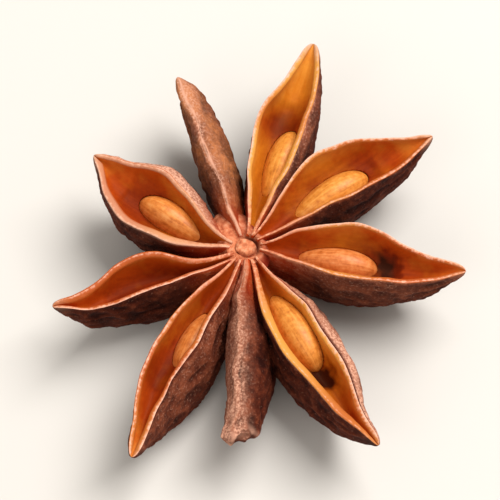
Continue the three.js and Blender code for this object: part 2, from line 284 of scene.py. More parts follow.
def rows_round(follicle):
    """The rows round a ring, from the keel over the left edge and back: part, side and rise."""
    skin = ROWS["skin"]
    rim = ROWS["rim"]
    inner = SLIT_ROWS if follicle.get("shut") else ROWS["lining"]
    left = [("skin", 1, i / skin) for i in range(skin)]
    left += [("rim", 1, i / rim) for i in range(rim)]
    left += [("lining", 1, 1 - i / inner) for i in range(inner)]
    right = [("lining", -1, i / inner) for i in range(inner)]
    right += [("rim", -1, 1 - i / rim) for i in range(rim)]
    right += [("skin", -1, 1 - i / skin) for i in range(skin)]
    return left + right


def ring_point(follicle, measures, row):
    """Where a row crosses a cross-section: sideways and height."""
    part, side, rise = row
    edge_y, edge_z, rim, bulge = measures["edges"][side]
    keel_y = measures["keel_y"]
    keel_z = measures["keel_z"]
    mouth_y = measures["mouth_y"]
    floor_z = measures["floor_z"]
    shut = follicle.get("shut")
    roll = 1 if shut else bulge / FULL_BULGE
    shoulder = OPEN_SHOULDER + (SHUT_SHOULDER - OPEN_SHOULDER) * roll
    reach = side * (edge_y - keel_y)
    belly = max(LEAST_BELLY, measures["half_width"] - reach * math.sqrt(0.5))
    outer_y = edge_y + side * rim if shut else edge_y
    if part == "skin":
        return wall_point(keel_y, keel_z, outer_y, edge_z, side, belly, shoulder, bulge, rise)
    if shut:
        if part == "lining":
            return mouth_y + (edge_y - mouth_y) * rise, edge_z + SEAM_RIDGE
        return outer_y + (edge_y - outer_y) * rise, edge_z + SEAM_RIDGE * rise
    rim = min(rim, reach - LEAST_GAPE)
    inner_y = edge_y - side * rim
    inner_z = edge_z - RIM_SLOPE * rim
    if part == "rim":
        round_over = RIM_ROUNDING * abs(rim) * math.sin(math.pi * rise)
        return edge_y + (inner_y - edge_y) * rise, edge_z + (inner_z - edge_z) * rise + round_over
    inner_belly = BOWL_BELLY * abs(inner_y - mouth_y)
    return wall_point(mouth_y, floor_z, inner_y, inner_z, side, inner_belly, shoulder, 0, rise)


def crease_height(spot):
    """The height of the drying wrinkles at a spot of the noise, in millimetres."""
    stretched = Vector((spot.x / CREASE_ALONG, spot.y / CREASE_ACROSS, spot.z / CREASE_ACROSS))
    folds = 1 - CREASE_SHARPNESS * abs(noise.noise(stretched))
    return CREASE * (folds - CREASE_LEVEL) + PUCKER * noise.noise(spot / PUCKER_SPACING)


def bowl_depth(follicle, measures, row, z, spot):
    """How much painted shade a point gets: how deep it lies against the deepest, with a ragged
    painted shadow in the pit past a seed.
    """
    part, side, rise = row
    depth = max(0, measures["edges"][side][1] - z) / DEEPEST
    if part == "lining" and "pit_shadow" in follicle:
        pit_shadow_radius, pit_shadow_tone = follicle["pit_shadow"]
        away = math.hypot((measures["radius"] - pit_shadow_radius) / PIT_SHADOW_REACH, rise * PIT_SHADOW_CLIMB)
        ragged = PIT_SHADOW_RAGGED * noise.noise(spot / PUCKER_SPACING)
        depth += pit_shadow_tone * max(0, 1 - away + ragged)
    return depth


def paleness(follicle, measures, row, fray):
    """How pale a point is: at a bleached tip, on a closed seam, a raw rim or a frayed end."""
    part, _, rise = row
    past = max(0, measures["along"] - BLEACHED_FROM) / (1 - BLEACHED_FROM)
    bleached = follicle["bleached"] * past
    seam = follicle.get("seam", 0)
    raw = 0
    if part == "skin":
        bleached *= rise ** BLEACHED_FADE
        seam = 0
    if part == "rim":
        seam *= rise ** SEAM_FADE
        raw = follicle.get("raw", 0)
    return max(bleached, seam, raw, fray.x * FRAY_PALENESS)


def sunned_tone(follicle, measures, row, spot):
    """How far the sun tanned a point, in patches that fade down the flank and at the column."""
    part, _, rise = row
    patch = SUNNED_LEVEL + noise.noise(spot / WOBBLE_SPACING)
    high = rise ** SUNNED_FADE if part == "skin" else 1
    return follicle.get("sunned", 0) * patch * high * min(1, SUNNED_OUTWARD * measures["along"])


def follicle_piece(name, follicle):
    """A grid wrapped round into the follicle's skin, rims and lining, closed at both ends."""
    shut = follicle.get("shut")
    rows = rows_round(follicle)
    sections = []
    for i in range(RINGS + 1):
        along = math.sin(i / RINGS * RING_CROWDING) / math.sin(RING_CROWDING)
        sections.append(section(follicle, along))
    shape = bmesh.new()
    bmesh.ops.create_grid(shape, x_segments=RINGS, y_segments=len(rows), size=0.5)
    layers = {layer: shape.verts.layers.float.new(layer) for layer in LAYERS}
    for face in shape.faces:
        row = rows[int((face.calc_center_median().y + 0.5) * len(rows))]
        face.material_index = 0 if shut else list(ROWS).index(row[0])
        face.smooth = True
    lifts = {}
    for vert in shape.verts:
        measures = sections[round((vert.co.x + 0.5) * RINGS)]
        row = rows[round((vert.co.y + 0.5) * len(rows)) % len(rows)]
        part, side, rise = row
        along = measures["along"]
        y, z = ring_point(follicle, measures, row)
        y = measures["mouth_y"] + (y - measures["mouth_y"]) * measures["shrink"]
        z = measures["middle_z"] + (z - measures["middle_z"]) * measures["shrink"]
        place = Vector((measures["radius"], y, z))
        spot = place + Vector((0, 0, NOISE_START + follicle["azimuth"]))
        held = min(1, along * GROWS_IN, (1 - along) * DIES_OUT)
        end = max(0, along - FRAYED_FROM) / (1 - FRAYED_FROM)
        fray = noise.noise_vector(spot / FRAYED_SPACING) * follicle.get("frayed", 0) * end
        vert[layers["inward"]] = rise * measures["edges"][side][2]
        vert[layers["depth"]] = bowl_depth(follicle, measures, row, z, spot)
        vert[layers["pale"]] = paleness(follicle, measures, row, fray)
        vert[layers["centre"]] = max(0, 1 - (measures["radius"] - FOLLICLE_START) / CENTRE_REACH)
        # How red the lining is here: partly its own colour, partly painted light and shade.
        vert[layers["red_share"]] = reading(follicle["redness"], along) if "redness" in follicle else 0
        vert[layers["dusty"]] = follicle.get("dusty", 0) * (DUST_AT_COLUMN + DUST_OUTWARD * along)
        vert[layers["sunned"]] = sunned_tone(follicle, measures, row, spot)
        vert[layers["along"]] = measures["radius"]
        vert[layers["across"]] = y + follicle["azimuth"]
        if part == "skin" or shut:
            height = crease_height(spot)
            smoothed = 1 if shut else min(1, (1 - rise) * SMOOTH_AT_RIM)
            lifts[vert] = height * smoothed * held
            vert[layers["relief"]] = height / (CREASE + PUCKER)
        if part == "rim":
            place.z += NIBBLE * noise.noise(spot / NIBBLE_SPACING)
        wobble = noise.noise_vector(spot / WOBBLE_SPACING) * WOBBLE * held
        vert.co = place + Vector((0, wobble.y, wobble.z * WOBBLE_UPWARD)) + fray
    bmesh.ops.remove_doubles(shape, verts=shape.verts, dist=WELD)
    open_ends = [edge for edge in shape.edges if edge.is_boundary]
    bmesh.ops.holes_fill(shape, edges=open_ends, sides=0)
    bmesh.ops.recalc_face_normals(shape, faces=shape.faces)
    shape.normal_update()
    # How far each skin point faces up towards the dust's side: dust lies there, and the skin is
    # painted lighter there as light and darker facing away as shade.
    dusted_and_lit_side = Vector((0, follicle.get("dust_and_light_side", 0), 1)).normalized()
    for vert, lift in lifts.items():
        if vert.is_valid:
            vert[layers["upward"]] = max(0, vert.normal.dot(dusted_and_lit_side))
            vert.co += vert.normal * lift
    turned = Matrix.Rotation(math.radians(follicle["azimuth"]), 4, "Z")
    moved = Matrix.Translation((COLUMN_X, COLUMN_Y, 0))
    bmesh.ops.transform(shape, matrix=Matrix.Scale(MM, 4) @ moved @ turned, verts=shape.verts)
    mesh = bpy.data.meshes.new(name)
    for material in HUSK_FINISHES:
        mesh.materials.append(material)
    shape.to_mesh(mesh)
    shape.free()
    return bpy.data.objects.new(name, mesh)


def linear(hex_colour):
    """An sRGB hex colour as the linear colour and alpha that a shader takes."""
    channels = [int(hex_colour[i:i + 2], 16) / 255 for i in (0, 2, 4)]
    return [c / 12.92 if c <= 0.04045 else ((c + 0.055) / 1.055) ** 2.4 for c in channels] + [1]


def add_node(tree, kind, settings, inputs, stops=()):
    """Adds a shader node with its settings, its inputs' values or links, and a ramp's stops."""
    made = tree.nodes.new(kind)
    for name, value in settings.items():
        setattr(made, name, value)
    for name, value in inputs.items():
        if isinstance(value, bpy.types.NodeSocket):
            tree.links.new(value, made.inputs[name])
        else:
            made.inputs[name].default_value = value
    for i, (place, colour) in enumerate(stops):
        stop = made.color_ramp.elements[i] if i < 2 else made.color_ramp.elements.new(place)
        stop.position = place
        stop.color = linear(colour)
    return made


def new_material(name, readings):
    """A new material's tree and shader, the object's coordinates in mm, and what it reads."""
    material = bpy.data.materials.new(name)
    material.use_nodes = True
    tree = material.node_tree
    coordinates = add_node(tree, "ShaderNodeTexCoord", {}, {})
    place = add_node(tree, "ShaderNodeVectorMath", {"operation": "SCALE"},
                     {0: coordinates.outputs["Object"], "Scale": 1 / MM})
    read = {}
    for layer in readings:
        attribute = add_node(tree, "ShaderNodeAttribute", {"attribute_name": layer}, {})
        read[layer] = attribute.outputs["Fac"]
    return material, tree, tree.nodes["Principled BSDF"], place.outputs[0], read


# The sockets of a colour mix: its share, its two colours and what comes out.
SHARE = 0
FROM = 6
TO = 7
MIXED = 2

# Sun-dried carpel skin: matt, finely wrinkled and red-brown. Painted shade makes
# it nearly black-red low on its sides and in the creases, and painted light makes
# it tan where it faces up, where dust lies too. Near the middle it is deep red
# between the follicles, brightened as painted bounce light, and peach on top of
# them where the painted light falls.
SKIN_PUCKER = 0.55
SKIN_GRIT = 0.2
SKIN_TONES = [(0.25, "2e0c05"), (0.45, "54200f"), (0.65, "7f3d24"), (0.9, "a96647")]
# Near the middle the skin is red, brightened to stand in for orange light bounced between the
# follicles: painted bounce light.
SKIN_AND_BOUNCE_TONES_NEAR_MIDDLE = [(0.3, "b83408"), (0.5, "bc4a1a"), (0.75, "d08460")]
SKIN_TANNED = "b86c3a"
SKIN_DUST = "d9a084"
UPWARD_LIGHT_AND_DUST_POWER = 1.8
DARKEST = 0.08
PUCKER_TONE = 0.65
CREASE_SHADE_TONE = 0.2
PAINTED_TOP_LIGHT = 0.36
GRIT_RAISED = 0.12

carpel_skin, tree, shader, place, read = new_material(
    "dried_carpel_skin", ("relief", "upward", "pale", "dusty", "centre", "sunned"))
pucker = add_node(tree, "ShaderNodeTexNoise", {},
                  {"Vector": place, "Scale": 1 / SKIN_PUCKER, "Detail": 6, "Roughness": 0.65})
grit = add_node(tree, "ShaderNodeTexNoise", {},
                {"Vector": place, "Scale": 1 / SKIN_GRIT, "Detail": 3, "Roughness": 0.6})
# The up-facing share lays the dust and adds painted light on top and painted shade low on the
# sides.
upward_light_and_dust = add_node(tree, "ShaderNodeMath", {"operation": "POWER"}, {0: read["upward"], 1: UPWARD_LIGHT_AND_DUST_POWER})
puckered = add_node(tree, "ShaderNodeMath", {"operation": "MULTIPLY_ADD"},
                    {0: pucker.outputs["Fac"], 1: PUCKER_TONE, 2: DARKEST})
# Painted shade in the creases and painted light on the wrinkle tops.
crease_shaded = add_node(tree, "ShaderNodeMath", {"operation": "MULTIPLY_ADD"},
                  {0: read["relief"], 1: CREASE_SHADE_TONE, 2: puckered.outputs[0]})
skin_tone = add_node(tree, "ShaderNodeMath", {"operation": "MULTIPLY_ADD"},
                     {0: upward_light_and_dust.outputs[0], 1: PAINTED_TOP_LIGHT, 2: crease_shaded.outputs[0]})
far_skin = add_node(tree, "ShaderNodeValToRGB", {}, {"Fac": skin_tone.outputs[0]}, SKIN_TONES)
near_skin_and_bounce = add_node(tree, "ShaderNodeValToRGB", {}, {"Fac": skin_tone.outputs[0]},
                     SKIN_AND_BOUNCE_TONES_NEAR_MIDDLE)
plain_skin = add_node(tree, "ShaderNodeMix", {"data_type": "RGBA"},
                      {SHARE: read["centre"], FROM: far_skin.outputs["Color"],
                       TO: near_skin_and_bounce.outputs["Color"]})
sun_patches = add_node(tree, "ShaderNodeMapRange", {},
                       {"Value": pucker.outputs["Fac"], "From Min": 0.35, "From Max": 0.6,
                        "To Min": 0.4})
tanned = add_node(tree, "ShaderNodeMath", {"operation": "MULTIPLY", "use_clamp": True},
                  {0: sun_patches.outputs[0], 1: read["sunned"]})
tanned_skin = add_node(tree, "ShaderNodeMix", {"data_type": "RGBA"},
                       {SHARE: tanned.outputs[0], FROM: plain_skin.outputs[MIXED],
                        TO: linear(SKIN_TANNED)})
dust = add_node(tree, "ShaderNodeMath", {"operation": "MULTIPLY"},
                {0: read["dusty"], 1: upward_light_and_dust.outputs[0]})
caught = add_node(tree, "ShaderNodeMapRange", {},
                  {"Value": grit.outputs["Fac"], "From Min": 0.4, "From Max": 0.6,
                   "To Min": 0.35, "To Max": 1.1})
raised_grit = add_node(tree, "ShaderNodeMath", {"operation": "MULTIPLY_ADD"},
                       {0: upward_light_and_dust.outputs[0], 1: GRIT_RAISED, 2: grit.outputs["Fac"]})
specks = add_node(tree, "ShaderNodeMapRange", {},
                  {"Value": raised_grit.outputs[0], "From Min": 0.62, "From Max": 0.9,
                   "To Max": 0.6})
dusted = add_node(tree, "ShaderNodeMath", {"operation": "MULTIPLY_ADD", "use_clamp": True},
                  {0: dust.outputs[0], 1: caught.outputs[0], 2: specks.outputs[0]})
pale_share = add_node(tree, "ShaderNodeMath", {"operation": "MAXIMUM"},
                      {0: dusted.outputs[0], 1: read["pale"]})
skin_colour = add_node(tree, "ShaderNodeMix", {"data_type": "RGBA"},
                       {SHARE: pale_share.outputs[0], FROM: tanned_skin.outputs[MIXED],
                        TO: linear(SKIN_DUST)})
tree.links.new(skin_colour.outputs[MIXED], shader.inputs["Base Color"])
skin_fine = add_node(tree, "ShaderNodeMath", {"operation": "ADD"},
                     {0: pucker.outputs["Fac"], 1: grit.outputs["Fac"]})
skin_bump = add_node(tree, "ShaderNodeBump", {},
                     {"Height": skin_fine.outputs[0], "Strength": 0.9, "Distance": 0.12 * MM})
tree.links.new(skin_bump.outputs[0], shader.inputs["Normal"])
shader.inputs["Roughness"].default_value = 0.85
shader.inputs["Specular IOR Level"].default_value = 0.12

# The torn seam: a thin thread of raw, pale and fibrous wood at the very edge,
# and inside it the orange wood of the wall; near the middle all of it is peach.
FIBRE_WIDTH = 0.33
FIBRE_REACH = 0.7
THREAD = "ecae90"
GOLDEN_WALL = "d8923c"
RED_WALL = "b4521a"
RIM_TONES_NEAR_MIDDLE = [(0.42, "b0522c"), (0.5, "d47c52"), (0.58, "e8a480")]
BLEACHED_RIM = "d2a080"

torn_edge, tree, shader, place, read = new_material(
    "torn_carpel_edge", ("inward", "pale", "centre", "red_share"))
fibre = add_node(tree, "ShaderNodeTexNoise", {},
                 {"Vector": place, "Scale": 1 / FIBRE_WIDTH, "Detail": 4, "Roughness": 0.65})
ragged_inward = add_node(tree, "ShaderNodeMath", {"operation": "MULTIPLY_ADD"},
                         {0: fibre.outputs["Fac"], 1: FIBRE_REACH, 2: read["inward"]})
inside_thread = add_node(tree, "ShaderNodeMapRange", {},
                         {"Value": ragged_inward.outputs[0], "From Min": 0.38, "From Max": 0.58})
wall = add_node(tree, "ShaderNodeMix", {"data_type": "RGBA"},
                {SHARE: read["red_share"], FROM: linear(GOLDEN_WALL), TO: linear(RED_WALL)})
far_rim = add_node(tree, "ShaderNodeMix", {"data_type": "RGBA"},
                   {SHARE: inside_thread.outputs[0], FROM: linear(THREAD),
                    TO: wall.outputs[MIXED]})
near_rim = add_node(tree, "ShaderNodeValToRGB", {}, {"Fac": fibre.outputs["Fac"]},
                    RIM_TONES_NEAR_MIDDLE)
plain_rim = add_node(tree, "ShaderNodeMix", {"data_type": "RGBA"},
                     {SHARE: read["centre"], FROM: far_rim.outputs[MIXED],
                      TO: near_rim.outputs["Color"]})
rim_colour = add_node(tree, "ShaderNodeMix", {"data_type": "RGBA"},
                      {SHARE: read["pale"], FROM: plain_rim.outputs[MIXED],
                       TO: linear(BLEACHED_RIM)})
tree.links.new(rim_colour.outputs[MIXED], shader.inputs["Base Color"])
rim_bump = add_node(tree, "ShaderNodeBump", {},
                    {"Height": fibre.outputs["Fac"], "Strength": 0.8, "Distance": 0.08 * MM})
tree.links.new(rim_bump.outputs[0], shader.inputs["Normal"])
shader.inputs["Roughness"].default_value = 0.6
shader.inputs["Specular IOR Level"].default_value = 0.3

# The lining of the bowl: smooth, horny wood with a low shine and a grain that
# runs to the tip. It is painted paler near the mouth and darker towards the
# floor as shade, with a painted shadow in the pit past a seed, and it is darker
# and redder towards the middle. It is golden or red from follicle to follicle,
# along each and in patches: partly its own colour, partly painted light and
# shade, golden where lit and red and darker where shaded.
LINING_GRAIN_LENGTH = 3.3
LINING_GRAIN_WIDTH = 0.33
MOTTLE_SIZE = 0.4
PATCH_SIZE = 2.5
GRAIN_TONE = 0.3
MOTTLE_TONE = 0.2
MIDDLE_TONE = 0.25
TONE_SPAN = 0.6
MIDDLE_REDNESS = 0.5
GOLDEN_TONES = [(0.15, "e8a850"), (0.3, "d98e34"), (0.45, "c06e1a"), (0.62, "9a4a0a"),
                (0.95, "3a1206")]
RED_TONES = [(0.15, "d06c28"), (0.3, "bc4e12"), (0.45, "9c380a"), (0.62, "701f06"),
             (0.95, "2a0a04")]
LINING_SHINE = "f0b488"

lining, tree, shader, place, read = new_material(
    "smooth_carpel_lining", ("depth", "along", "across", "red_share", "centre"))
grain_place = add_node(tree, "ShaderNodeCombineXYZ", {}, {"X": read["along"], "Y": read["across"]})
drawn_out = add_node(tree, "ShaderNodeMapping", {},
                     {"Vector": grain_place.outputs[0],
                      "Scale": (1 / LINING_GRAIN_LENGTH, 1 / LINING_GRAIN_WIDTH, 1)})
grain = add_node(tree, "ShaderNodeTexNoise", {},
                 {"Vector": drawn_out.outputs[0], "Scale": 1, "Detail": 4, "Roughness": 0.6})
mottle = add_node(tree, "ShaderNodeTexNoise", {},
                  {"Vector": place, "Scale": 1 / MOTTLE_SIZE, "Detail": 3, "Roughness": 0.6})
patches = add_node(tree, "ShaderNodeTexNoise", {},
                   {"Vector": place, "Scale": 1 / PATCH_SIZE, "Detail": 3, "Roughness": 0.5})
# The depth layer adds painted shade: darker towards the floor and in the pit past a seed.
grain_and_depth_shade = add_node(tree, "ShaderNodeMath", {"operation": "MULTIPLY_ADD"},
                   {0: grain.outputs["Fac"], 1: GRAIN_TONE, 2: read["depth"]})
mottled = add_node(tree, "ShaderNodeMath", {"operation": "MULTIPLY_ADD"},
                   {0: mottle.outputs["Fac"], 1: MOTTLE_TONE, 2: grain_and_depth_shade.outputs[0]})
deepened = add_node(tree, "ShaderNodeMath", {"operation": "MULTIPLY_ADD"},
                    {0: read["centre"], 1: MIDDLE_TONE, 2: mottled.outputs[0]})
lining_tone = add_node(tree, "ShaderNodeMath", {"operation": "MULTIPLY"},
                       {0: deepened.outputs[0], 1: TONE_SPAN})
golden_lining = add_node(tree, "ShaderNodeValToRGB", {}, {"Fac": lining_tone.outputs[0]},
                         GOLDEN_TONES)
red_lining = add_node(tree, "ShaderNodeValToRGB", {}, {"Fac": lining_tone.outputs[0]}, RED_TONES)
# Golden to red and darker: partly the lining's own colour, partly painted light where golden and
# painted shade where red.
red_patches = add_node(tree, "ShaderNodeMapRange", {},
                        {"Value": patches.outputs["Fac"], "From Min": 0.35, "From Max": 0.65,
                         "To Min": -0.3, "To Max": 0.3})
red_middle = add_node(tree, "ShaderNodeMath", {"operation": "MULTIPLY_ADD"},
                       {0: read["centre"], 1: MIDDLE_REDNESS, 2: red_patches.outputs[0]})
reddened = add_node(tree, "ShaderNodeMath", {"operation": "ADD", "use_clamp": True},
                   {0: red_middle.outputs[0], 1: read["red_share"]})
lining_colour = add_node(tree, "ShaderNodeMix", {"data_type": "RGBA"},
                         {SHARE: reddened.outputs[0], FROM: golden_lining.outputs["Color"],
                          TO: red_lining.outputs["Color"]})
tree.links.new(lining_colour.outputs[MIXED], shader.inputs["Base Color"])
lining_bump = add_node(tree, "ShaderNodeBump", {},
                       {"Height": grain.outputs["Fac"], "Strength": 0.4, "Distance": 0.08 * MM})
tree.links.new(lining_bump.outputs[0], shader.inputs["Normal"])
shader.inputs["Roughness"].default_value = 0.5
shader.inputs["Specular IOR Level"].default_value = 0.15
shader.inputs["Specular Tint"].default_value = linear(LINING_SHINE)

# The pith where all the follicles meet: soft, dry and crumbly, peach round the
# button and red-brown between the follicles; the crack is painted dark red-brown
# as shade.
CRUMB_SIZE = 0.45
PITH_TONES = [(0.35, "ac5634"), (0.5, "d27a50"), (0.65, "e29a72")]
PITH_BETWEEN = "8c260c"
PITH_CRACK_SHADE = "5a1a08"

pith, tree, shader, place, read = new_material("dry_central_pith", ("crack_shade", "centre"))
crumb = add_node(tree, "ShaderNodeTexNoise", {},
                 {"Vector": place, "Scale": 1 / CRUMB_SIZE, "Detail": 5, "Roughness": 0.65})
crumbs = add_node(tree, "ShaderNodeValToRGB", {}, {"Fac": crumb.outputs["Fac"]}, PITH_TONES)
plain_pith = add_node(tree, "ShaderNodeMix", {"data_type": "RGBA"},
                      {SHARE: read["centre"], FROM: linear(PITH_BETWEEN),
                       TO: crumbs.outputs["Color"]})
pith_colour = add_node(tree, "ShaderNodeMix", {"data_type": "RGBA"},
                       {SHARE: read["crack_shade"], FROM: plain_pith.outputs[MIXED],
                        TO: linear(PITH_CRACK_SHADE)})
tree.links.new(pith_colour.outputs[MIXED], shader.inputs["Base Color"])
pith_bump = add_node(tree, "ShaderNodeBump", {},
                     {"Height": crumb.outputs["Fac"], "Strength": 0.8, "Distance": 0.1 * MM})
tree.links.new(pith_bump.outputs[0], shader.inputs["Normal"])
shader.inputs["Roughness"].default_value = 0.8
shader.inputs["Specular IOR Level"].default_value = 0.25

# In the order of ROWS, with the pith last.
HUSK_FINISHES = [carpel_skin, torn_edge, lining, pith]

boats = bpy.data.collections.new("follicles")
for name, follicle in FOLLICLES.items():
    boats.objects.link(follicle_piece("follicle_" + name, follicle))


# ---- Column, button and stalk ---------------------------------------------
# The flower's short axis stands in the middle, with all nine carpels grown to
# its side. On top it ends in a small cracked button of pale pith, and below in
# the stub of the stalk it hung from. It is one piece of wood with the carpels.

COLUMN_RADIUS = 1.25
COLUMN_BOTTOM = 1.6
COLUMN_SHOULDER = 0.4
STALK_RADIUS = 0.95
STALK_END_RADIUS = 0.76
STALK_BOTTOM = 0.7
STALK_ROUNDING = 0.3
COLUMN_SIDES = 72
PROFILE_STEP = 0.12
AXIS_WELD = 1e-4

# The web between the follicles, which reaches further out on one side.
WEB_RADIUS = 2.1
WEB_FOOT = 4.6
WEB_EDGE = 5.5
WEB_FACE_RADIUS = 1.5
WEB_TOP = 6.45
WEB_REACH = 0.6
WEB_REACH_AZIMUTH = 120
WEB_REACH_FALLOFF = 4
WEB_SKIRT = 1.6

# The button, a little squared, with a groove round it that is filled on one
# side and cracked open on the other.
BUTTON_RADIUS = 0.82
BUTTON_FACE_RADIUS = 0.62
BUTTON_TOP = 6.85
BUTTON_ROUNDING = 0.2
BUTTON_CORNERS = 4
BUTTON_CORNER = 0.1
BUTTON_TURN = 20
GROOVE_RADIUS = 1.05
GROOVE_BOTTOM = 6.15
GROOVE_FILL = 0.9
GROOVE_MARGIN = 0.1
FILL_TOP = 6.6
CRACK_RADIUS = 0.95
CRACK_WIDTH = 0.35
CRACK_AZIMUTH = 35
CRACK_SPREAD = 0.4
CRACK_DEPTH = 0.45

# How uneven the pith is, and where it is peach.
COLUMN_UNEVEN = 0.14
COLUMN_UNEVEN_SPACING = 0.9
BUTTON_UNEVEN_SPACING = 0.55
COLUMN_DEPTH_TONE = 0.6
FIRST_AZIMUTH = -20
PEACH_WIDTH = 0.8
PEACH_AZIMUTH = 165
PEACH_FADE = 0.5

profile = [
    (0, STALK_BOTTOM),
    (STALK_END_RADIUS, STALK_BOTTOM),
    (STALK_RADIUS, STALK_BOTTOM + STALK_ROUNDING),
    (STALK_RADIUS, COLUMN_BOTTOM),
    (COLUMN_RADIUS, COLUMN_BOTTOM + COLUMN_SHOULDER),
    (COLUMN_RADIUS, WEB_FOOT),
    (WEB_RADIUS, WEB_EDGE),
    (WEB_FACE_RADIUS, WEB_TOP),
    (GROOVE_RADIUS, WEB_TOP),
    (BUTTON_RADIUS, GROOVE_BOTTOM),
    (BUTTON_RADIUS, BUTTON_TOP - BUTTON_ROUNDING),
    (BUTTON_FACE_RADIUS, BUTTON_TOP),
    (0, BUTTON_TOP),
]


def facing(angle, azimuth):
    """How far a direction in radians faces an azimuth in degrees: 1 towards it, -1 away."""
    return math.cos(angle - math.radians(azimuth))


turning = bmesh.new()
corners = [turning.verts.new((radius, 0, z)) for radius, z in profile]
for start, end in zip(corners, corners[1:]):
    turning.edges.new((start, end))
for edge in list(turning.edges):
    cuts = int(edge.calc_length() / PROFILE_STEP)
    if cuts:
        bmesh.ops.subdivide_edges(turning, edges=[edge], cuts=cuts)
bmesh.ops.spin(turning, geom=turning.verts[:] + turning.edges[:], cent=(0, 0, 0), axis=(0, 0, 1),
               angle=2 * math.pi, steps=COLUMN_SIDES, use_merge=True)
bmesh.ops.remove_doubles(turning, verts=turning.verts, dist=AXIS_WELD)
bmesh.ops.recalc_face_normals(turning, faces=turning.faces)
layers = {layer: turning.verts.layers.float.new(layer) for layer in LAYERS}
for vert in turning.verts:
    radius = math.hypot(vert.co.x, vert.co.y)
    angle = math.atan2(vert.co.y, vert.co.x)
    if vert.co.z > WEB_FOOT and radius > GROOVE_RADIUS:
        share = min(WEB_SKIRT, (radius - GROOVE_RADIUS) / (WEB_FACE_RADIUS - GROOVE_RADIUS))
        towards = max(0, facing(angle, WEB_REACH_AZIMUTH))
        reach = 1 + WEB_REACH * share * towards ** WEB_REACH_FALLOFF
        vert.co.x *= reach
        vert.co.y *= reach
    in_groove = 0
    if vert.co.z > GROOVE_BOTTOM - GROOVE_MARGIN:
        in_groove = max(0, 1 - abs(radius - CRACK_RADIUS) / CRACK_WIDTH)
    open_side = max(0, (facing(angle, CRACK_AZIMUTH) + CRACK_SPREAD) / (1 + CRACK_SPREAD))
    vert.co.z += GROOVE_FILL * in_groove * (1 - open_side) * max(0, FILL_TOP - vert.co.z)
    vert.co.z -= CRACK_DEPTH * in_groove * open_side
    if vert.co.z > GROOVE_BOTTOM and radius <= BUTTON_RADIUS:
        corner = math.cos(BUTTON_CORNERS * (angle - math.radians(BUTTON_TURN)))
        vert.co.x *= 1 + BUTTON_CORNER * corner
        vert.co.y *= 1 + BUTTON_CORNER * corner
    peach_side = max(0, facing(angle, PEACH_AZIMUTH)) ** PEACH_FADE
    peach_middle = 1 - max(0, radius - GROOVE_RADIUS) / PEACH_WIDTH
    # Where the pith is painted dark as shade in the open crack.
    vert[layers["crack_shade"]] = in_groove * open_side
    vert[layers["centre"]] = max(peach_side, peach_middle)
    # Lining that meets the column takes this much painted shade.
    vert[layers["depth"]] = COLUMN_DEPTH_TONE
    vert[layers["red_share"]] = 1
    vert[layers["along"]] = radius
    vert[layers["across"]] = (math.degrees(angle) - FIRST_AZIMUTH) % 360 + FIRST_AZIMUTH
    spacing = COLUMN_UNEVEN_SPACING if radius > BUTTON_RADIUS else BUTTON_UNEVEN_SPACING
    vert.co += noise.noise_vector(vert.co / spacing) * COLUMN_UNEVEN
for face in turning.faces:
    finish = pith if face.calc_center_median().z > WEB_FOOT else carpel_skin
    face.smooth = True
    face.material_index = HUSK_FINISHES.index(finish)
column_place = Matrix.Scale(MM, 4) @ Matrix.Translation((COLUMN_X, COLUMN_Y, 0))
bmesh.ops.transform(turning, verts=turning.verts, matrix=column_place)
column_mesh = bpy.data.meshes.new("column")
for material in HUSK_FINISHES:
    column_mesh.materials.append(material)
turning.to_mesh(column_mesh)
turning.free()
column = bpy.data.objects.new("column", column_mesh)
bpy.context.scene.collection.objects.link(column)
bpy.context.scene.collection.children.link(boats)


# ---- Grown together, with a socket for each seed -----------------------------
# The follicles and the column are one piece of wood. Each seed ripened in a
# close-fitting socket in its follicle's floor, with a little room at its outer
# end; the lowest keels are rubbed flat where the pod rests.

SEED_LENGTH = 7.8
SEED_HEIGHT = 4.9
SEED_THICKNESS = 3.2
SEED_TAPER = 0.32
SEED_SIDES = 72
SEED_RINGS = 48
SOCKET_CLEARANCE = 0.015
SOCKET_SLACK = 0.05
SOCKET_SHADE_LINE_TONE = 0.7

# Each seed's outer end is tipped up by this many degrees.
SEED_TIPPED_UP = 4

# One row for each seed: its middle along, sideways and up in its follicle, its
# size against a full seed, its turn seen from above and its lean in degrees,
# and how red its coat ripened.
SEEDS = {
    "east": dict(middle=(7.1, 0.05, 4.3), size=0.92, turn=-2, lean=0, redness=0.75),
    "north_east": dict(middle=(8.4, 0.6, 4.35), size=0.96, turn=0, lean=4, redness=0.1),
    "north": dict(middle=(8.2, -0.4, 4.3), size=0.93, turn=-3, lean=2, redness=0),
    "north_west": dict(middle=(6.4, 0.6, 4.25), size=0.9, turn=-1, lean=-1, redness=0.45),
    "south_west": dict(middle=(8.4, -0.3, 4.0), size=0.88, turn=0, lean=0, redness=0.6),
    "south_east": dict(middle=(7.7, -0.15, 4.45), size=1.02, turn=-2, lean=0, redness=0.15),
}


